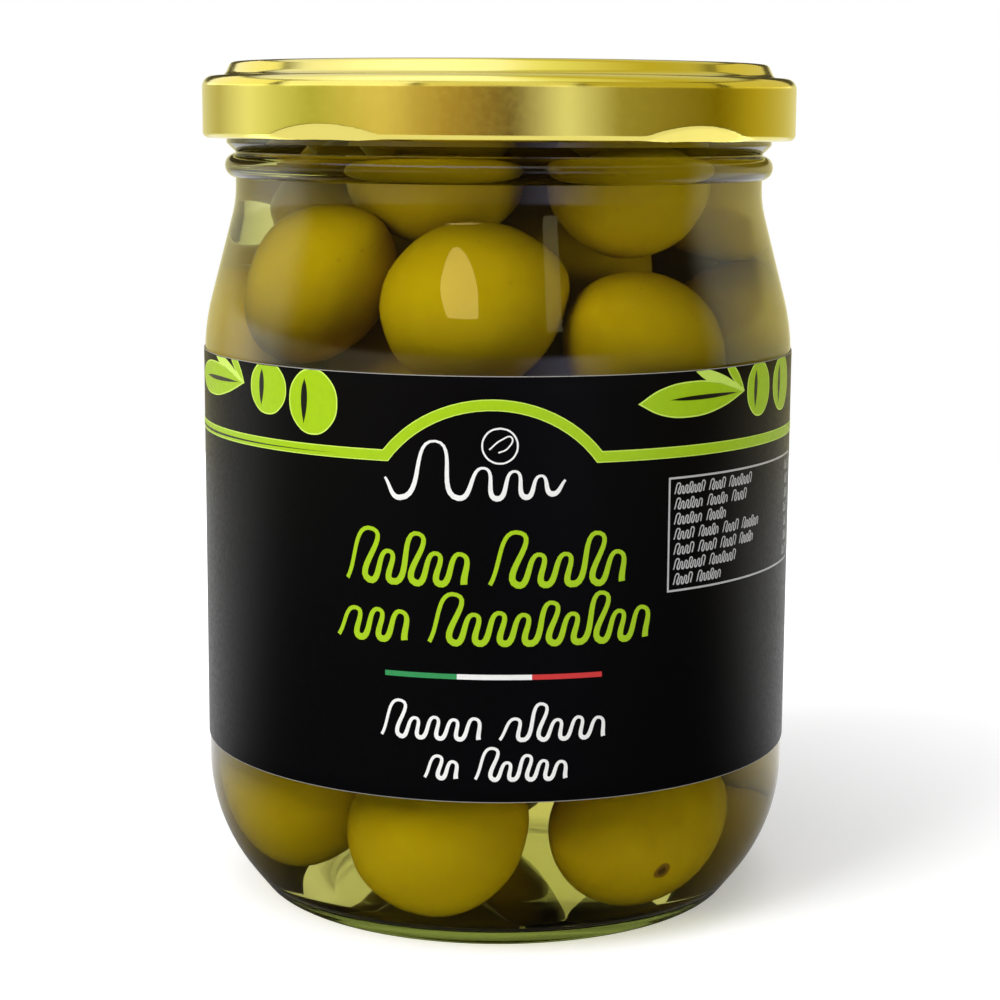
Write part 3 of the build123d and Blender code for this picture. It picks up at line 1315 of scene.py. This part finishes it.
def wrap_pen(piece, layer, s):
    """Flattens a pen stroke to the thickness of ink and bends it round the label."""
    across = [v.co.x for v in piece.data.vertices]
    low, high = min(across), max(across)
    deep = max(v.co.y for v in piece.data.vertices)
    with editing(piece):
        bpy.ops.transform.resize(value=(1, 0.5 * s.ink / deep, 1), center_override=(0, 0, 0))
        bpy.ops.transform.translate(value=(0, -(layer + 0.5) * s.ink, 0))
    return bend(piece, (high - low) / paper_radius(s), s)


def line_path(s, inset=0.0):
    """The lime line round the label, with its arch over the middle."""
    end = (math.pi - s.gap / 2) * paper_radius(s) - 0.3 * MM
    low, high = 68.1 * MM + inset, 69.6 * MM - inset
    middle_x, middle_z, radius = -0.6 * MM, 57.75 * MM, 18.05 * MM
    half = (high - low) / 2
    reach, lean = [], []
    for size, level in ((radius - half, low), (radius + half, high)):
        lean.append(math.degrees(math.acos((level - middle_z) / size)))
        reach.append(math.sqrt(size**2 - (level - middle_z) ** 2))
    path = Path(-end, low).to(middle_x - reach[0], low)
    path.heading = math.radians(lean[0])
    path.arc(radius - half, -2 * lean[0])
    path.to(end, low).to(end, high).to(middle_x + reach[1], high)
    path.heading = math.radians(180 - lean[1])
    path.arc(radius + half, 2 * lean[1])
    return path.to(-end, high)


class OLIVEJAR_OT_print(bpy.types.Operator):
    """Print the label"""

    bl_idname = "olivejar.print"
    bl_label = "Print"

    def execute(self, context):
        s = context.scene.olivejar_label
        inks = {
            "lime": plain_paper_material("lime ink", s.lime),
            "pale": plain_paper_material("pale lime ink", s.pale_lime),
            "white": plain_paper_material("white ink", s.white),
            "green": plain_paper_material("green ink", s.green),
            "red": plain_paper_material("red ink", s.red),
            "grey": plain_paper_material("grey ink", s.grey),
            "black": plain_paper_material("black ink", s.paper),
        }
        self.lines(s, inks)
        self.sprigs(s, inks)
        self.waves(s, inks)
        self.stripes(s, inks)
        self.table(s, inks)
        return {"FINISHED"}

    def lines(self, s, inks):
        band = printed([line_path(s)], 0, s) + printed([line_path(s, 0.13 * MM)], 1, s)
        end = (math.pi - s.gap / 2) * paper_radius(s)
        slit = Path(-end, 68.50 * MM).to(-50 * MM, 68.50 * MM).to(-22 * MM, 68.72 * MM)
        slit.to(-50 * MM, 68.82 * MM).to(-end, 68.82 * MM)
        band += printed([slit], 2, s)
        finish_print("lime_line", band, [inks["pale"], inks["lime"], inks["black"]])

    def sprigs(self, s, inks):
        for name in SPRIGS:
            sprig(name, inks, s)

    def waves(self, s, inks):
        scroll = [(-14.9, 66.0), (-12.8, 63.4), (-8.0, 71.0), (-5.0, 63.6), (-1.6, 67.6), (0.0, 63.6)]
        scroll += [(2.4, 67.2), (3.8, 63.8), (5.8, 66.6), (7.2, 64.2), (9.0, 66.0)]
        rows = {
            "name_wave": (
                "white",
                0.32,
                0.74,
                [scroll],
            ),
            "title_waves": (
                "lime",
                0.55,
                0.92,
                [
                    running(-20.4, -4.2, 52.2, 4.0, 6.8, 5, (1.0, 0.0, 0.9, 0.0, 0.0)),
                    running(-0.8, 17.0, 52.2, 4.0, 6.9, 5, (1.0, 0.0, 0.0, 0.9, 0.0)),
                    running(-21.8, -12.2, 44.4, 3.8, 4.2, 3, (0.0, 0.2, 0.0)),
                    running(-8.8, 20.6, 44.4, 3.8, 6.4, 9, (1.0, 0.0, 0.1, 0.0, 0.6, 0.0)),
                ],
            ),
            "caption_waves": (
                "white",
                0.40,
                0.62,
                [
                    running(-15.4, -2.2, 31.4, 2.6, 4.8, 5, (1.0, 0.0, 0.1, 0.0, 0.1)),
                    running(0.6, 14.6, 31.4, 2.6, 4.8, 5, (0.1, 1.0, 0.0, 0.1, 0.0)),
                    running(-9.4, -5.2, 26.0, 2.3, 3.4, 2, (0.6, 0.0)),
                    running(-2.6, 9.4, 26.0, 2.3, 4.2, 5, (1.0, 0.0, 0.5, 0.1, 0.0)),
                ],
            ),
        }
        for name, (ink, thin, thick, strokes) in rows.items():
            made = [wrap_pen(pen(points, thick, thin), 0, s) for points in strokes]
            finish_print(name, made, [inks[ink]] * len(made))
        turns = [n * math.pi / 6 for n in range(13)]
        at = [(0.4 + 2.3 * math.sin(turn), 70.5 + 2.3 * math.cos(turn)) for turn in turns]
        leaf = [(-1.0, 70.0), (0.6, 71.3), (1.9, 71.6), (1.4, 70.2), (0.2, 69.6)]
        rings = [wrap_pen(pen(at, 0.24, 0.24), 0, s), wrap_pen(pen(leaf, 0.2, 0.2), 0, s)]
        finish_print("ring", rings, [inks["white"]] * 2)

    def stripes(self, s, inks):
        edges = {"stripe_green": (-14.9, -5.1, "green"), "stripe_white": (-5.1, 4.8, "white")}
        edges["stripe_red"] = (4.8, 14.3, "red")
        for name, (left, right, ink) in edges.items():
            path = box_path(left * MM, right * MM, 39.5 * MM, 40.2 * MM)
            finish_print(name, printed([path], 0, s), [inks[ink]])

    def table(self, s, inks):
        left, right, low, high = 24.0 * MM, 58.0 * MM, 50.0 * MM, 65.5 * MM
        rule = 0.28 * MM
        paths = [
            box_path(left, right, high - rule, high),
            box_path(left, right, low, low + rule),
            box_path(left, left + rule, low + rule, high - rule),
            box_path(right - rule, right, low + rule, high - rule),
        ]
        made = printed(paths, 0, s)
        draws = np.random.RandomState(5)
        rows = 7
        pitch = (high - low - 1.2 * MM) / rows / MM
        for n in range(rows):
            z = (high - 0.6 * MM) / MM - (n + 0.5) * pitch - 0.65
            x = left / MM + 1.0
            stop = x + draws.uniform(9, 17)
            while x < stop:
                word = draws.uniform(2.4, 5.5)
                strokes = max(2, round(word / 0.75))
                points = running(x, x + word, z, 0.95, 1.4, strokes, (1.0, 0.0, 0.2))
                made.append(wrap_pen(pen(points, 0.24, 0.19), 0, s))
                x += word + 1.1
            value = draws.uniform(1.6, 3.2)
            x = right / MM - 1.4 - value
            points = running(x, x + value, z, 0.8, 1.2, 3, (1.0, 0.0))
            made.append(wrap_pen(pen(points, 0.22, 0.18), 0, s))
        finish_print("table", made, [inks["grey"]] * len(made))


# Stage


def lamp(name, at, elevation, distance, size, power, tint=(1.0, 1.0, 1.0), aim=0.06, shine_on=None):
    """A softbox at a bearing and elevation in degrees, facing the jar.

    It lights matt things only, or with shine_on it is only mirrored, in that one piece.
    """
    deselect()
    bpy.ops.object.light_add(type="AREA")
    light = bpy.context.object
    light.name = name
    at, up = math.radians(at), math.radians(elevation)
    way = Vector((math.sin(at) * math.cos(up), -math.cos(at) * math.cos(up), math.sin(up)))
    light.location = Vector((0, 0, aim)) + way * distance
    light.rotation_euler = way.to_track_quat("Z", "Y").to_euler()
    light.data.shape = "RECTANGLE"
    light.data.size, light.data.size_y = size
    light.data.energy = power
    light.data.color = tint
    light.visible_camera = False
    light.visible_transmission = False
    light.visible_glossy = bool(shine_on)
    light.visible_diffuse = not shine_on
    if shine_on:
        receivers = bpy.data.collections.new(name + " shines on")
        receivers.objects.link(shine_on)
        light.light_linking.receiver_collection = receivers
    return light


# Colour of the studio round the jar at the height of the lid, by bearing in degrees, as soft
# cards with darker gaps between them. Negative bearings are on the left.
STUDIO = [
    (-180, (0.90, 0.85, 0.50)),
    (-135, (0.55, 0.50, 0.25)),
    (-110, (1.00, 1.00, 0.95)),
    (-75, (0.50, 0.50, 0.20)),
    (-45, (0.80, 0.65, 0.45)),
    (-20, (0.45, 0.30, 0.15)),
    (5, (0.15, 0.10, 0.10)),
    (25, (0.90, 0.90, 1.20)),
    (45, (0.35, 0.30, 0.15)),
    (90, (0.20, 0.15, 0.00)),
    (115, (0.50, 0.40, 0.05)),
    (180, (0.90, 0.85, 0.50)),
]
# The dark band just above, which the jar's shoulder mirrors.
QUIET = (0.07, 0.06, 0.03)
# The same as the sides, higher up.
OVERHEAD = [
    (-180, (0.70, 0.70, 0.90)),
    (-55, (1.50, 1.50, 2.50)),
    (0, (1.30, 1.30, 2.20)),
    (25, (1.00, 1.00, 0.80)),
    (80, (0.60, 0.50, 0.10)),
    (180, (0.70, 0.70, 0.70)),
]


def lit_stops(sides):
    """Colour stops for a list of bearings and colours."""
    return [((at + 180) / 360, tint) for at, tint in sides]


def build_world(s):
    """Even light, a white background, and for gloss a studio of brighter and darker sides."""
    world = bpy.data.worlds.new("studio")
    bpy.context.scene.world = world
    shader = Shader(world)
    way = shader.node("ShaderNodeTexCoord", output="Generated")
    across = shader.node("ShaderNodeSeparateXYZ", values={"Vector": way})
    ahead, up = across.output("Y"), across.output("Z")
    at = shader.maths("ARCTAN2", across.output("X"), -1 * ahead) / (2 * math.pi) + 0.5
    low, high = (
        shader.node("ShaderNodeValToRGB", {"stops": lit_stops(sides)}, {"Fac": at})
        for sides in (STUDIO, OVERHEAD)
    )
    low = shader.mix(shader.between(up, 0.08, 0.14), low, QUIET)
    above = shader.mix(shader.between(up, 0.50, 0.60), low, high)
    behind = shader.between(ahead, -0.10, 0.45)
    below = shader.mix(behind, (0.012, 0.012, 0.012), (1.0, 1.0, 1.0))
    mirrored = shader.mix(shader.between(up, -0.24, -0.12), below, above)
    ray = shader.node("ShaderNodeLightPath", output="Is Camera Ray")
    through = ray.output("Is Transmission Ray") * shader.between(ahead, -0.05, 0.25)
    white = ray.larger(through)
    soft = (s.soft_light,) * 3
    plain = shader.mix(ray.output("Is Glossy Ray"), soft, mirrored)
    plain = shader.mix(ray.output("Is Transmission Ray"), plain, (0.01, 0.01, 0.01))
    light = shader.mix(white, plain, (1.0, 1.0, 1.0))
    background = shader.node("ShaderNodeBackground", values={"Color": light, "Strength": 1.0})
    shader.node("ShaderNodeOutputWorld", values={"Surface": background})


def floor_material():
    """White paper that a glossy thing mirrors as dark in front of it and bright behind it."""
    shader = new_material("white sweep")
    grain = shader.noise(8.0, detail=1.0)
    body = shader.principled(
        shader.mix(grain, (0.90, 0.90, 0.90), (0.88, 0.88, 0.88)), Roughness=0.7
    )
    ray = shader.node("ShaderNodeLightPath", output="Is Camera Ray")
    seen = ray.larger(ray.output("Is Transmission Ray"))
    place = shader.place()
    far = shader.node("ShaderNodeVectorMath", {"operation": "LENGTH"}, {0: place}, "Value")
    glow = seen * shader.between(far, 0.05, 0.28, 0.34, 0.9)
    lift = shader.node("ShaderNodeEmission", values={"Strength": glow})
    lit = shader.node("ShaderNodeAddShader", values={0: body, 1: lift})
    ahead = shader.node("ShaderNodeSeparateXYZ", values={"Vector": place}).output("Y")
    bright = shader.between(ahead, -0.03, 0.08) + 0.01
    mirrored = shader.node("ShaderNodeEmission", values={"Strength": bright})
    through = ray.output("Is Transmission Ray") * shader.between(ahead, -0.04, -0.10)
    dark = ray.output("Is Glossy Ray").larger(through)
    return shader.finish(shader.mix_shader(dark, lit, mirrored))


class OLIVEJAR_OT_stage(bpy.types.Operator):
    """Set the floor, the lights and the camera"""

    bl_idname = "olivejar.stage"
    bl_label = "Stage"

    def execute(self, context):
        s = context.scene.olivejar_stage
        deselect()
        bpy.ops.mesh.primitive_circle_add(vertices=96, radius=s.floor_radius, fill_type="NGON")
        floor = bpy.context.object
        floor.name = "floor"
        floor.data.materials.append(floor_material())
        build_world(s)
        lamp("key", -46, 38, 0.62, (0.30, 0.45), 3.4)
        lamp("fill", 50, 5, 0.70, (0.25, 0.30), 1.1, aim=0.015)
        lamp("top", 0, 80, 0.60, (0.50, 0.50), 2.5)
        jar = bpy.data.objects["glass_jar"]
        window = lamp("window", -15.0, 22.2, 0.60, (0.15, 0.013), 0.022, (1.0, 0.75, 0.30), 0.09, jar)
        window.data.shape = "ELLIPSE"
        lid = bpy.data.objects["gold_lid"]
        low_card = lamp("low_card", 0, 0, 0.25, (0.90, 0.70), 1.9, (1.0, 0.98, 1.2), 0.004, lid)
        low_card.rotation_euler = (math.pi, 0, 0)
        lamp("strip", 21.5, 24, 0.60, (0.06, 0.16), 0.03, (1.0, 0.90, 0.50), 0.09, jar)
        cards = (
            ("far_left_card", -122, 0.60, (1.0, 0.96, 0.8)),
            ("left_card", -60, 0.65, (1.0, 0.98, 1.3)),
            ("middle_card", 0, 0.44, (1.0, 0.95, 0.8)),
            ("right_card", 60, 0.27, (1.0, 0.85, 0.2)),
            ("far_right_card", 122, 0.36, (1.0, 0.86, 0.3)),
        )
        for name, at, power, tint in cards:
            lamp(name, at, 17.5, 0.60, (0.62, 0.28), power, tint, 0.115, lid)
        self.camera(context, s)
        context.scene.view_settings.view_transform = "Standard"
        return {"FINISHED"}

    @staticmethod
    def camera(context, s):
        deselect()
        bpy.ops.object.camera_add()
        camera = bpy.context.object
        camera.name = "camera"
        look = Matrix.Rotation(math.pi / 2 - s.camera_pitch, 4, "X")
        lean = Matrix.Rotation(s.camera_roll, 4, "Z")
        place = Matrix.Translation((s.camera_aside, -s.camera_distance, s.camera_height))
        camera.matrix_world = place @ look @ lean
        camera.data.sensor_width = 36.0
        camera.data.lens = s.lens
        camera.data.clip_start = 0.01
        camera.data.clip_end = 20.0
        context.scene.camera = camera


class OLIVEJAR_PT_panel(bpy.types.Panel):
    """Sizes and colours of the jar of olives"""

    bl_label = "Jar of olives"
    bl_idname = "OLIVEJAR_PT_panel"
    bl_space_type = "VIEW_3D"
    bl_region_type = "UI"
    bl_category = "Olives"

    def draw(self, context):
        for attribute, operators in PANEL_ROWS:
            box = self.layout.box()
            for operator in operators:
                box.operator(operator.bl_idname)
            settings = getattr(context.scene, attribute)
            for name in settings.__annotations__:
                box.prop(settings, name)


SETTINGS = {
    "olivejar_glass": GlassSettings,
    "olivejar_brine": BrineSettings,
    "olivejar_olives": OliveSettings,
    "olivejar_lid": LidSettings,
    "olivejar_label": LabelSettings,
    "olivejar_stage": StageSettings,
}
PANEL_ROWS = [
    ("olivejar_glass", [OLIVEJAR_OT_glass]),
    ("olivejar_brine", [OLIVEJAR_OT_brine]),
    ("olivejar_olives", [OLIVEJAR_OT_olives]),
    ("olivejar_lid", [OLIVEJAR_OT_lid]),
    ("olivejar_label", [OLIVEJAR_OT_label, OLIVEJAR_OT_print]),
    ("olivejar_stage", [OLIVEJAR_OT_stage]),
]
OPERATORS = [operator for _, operators in PANEL_ROWS for operator in operators]


def register():
    for kind in (*SETTINGS.values(), *OPERATORS, OLIVEJAR_PT_panel):
        bpy.utils.register_class(kind)
    for name, kind in SETTINGS.items():
        setattr(bpy.types.Scene, name, PointerProperty(type=kind))


def unregister():
    for name in SETTINGS:
        delattr(bpy.types.Scene, name)
    for kind in (OLIVEJAR_PT_panel, *reversed(OPERATORS), *reversed(SETTINGS.values())):
        bpy.utils.unregister_class(kind)


def main():
    register()
    bpy.ops.olivejar.glass()
    bpy.ops.olivejar.brine()
    bpy.ops.olivejar.olives()
    bpy.ops.olivejar.lid()
    bpy.ops.olivejar.label()
    bpy.ops.olivejar.print()
    bpy.ops.olivejar.stage()


if __name__ == "__main__":
    main()
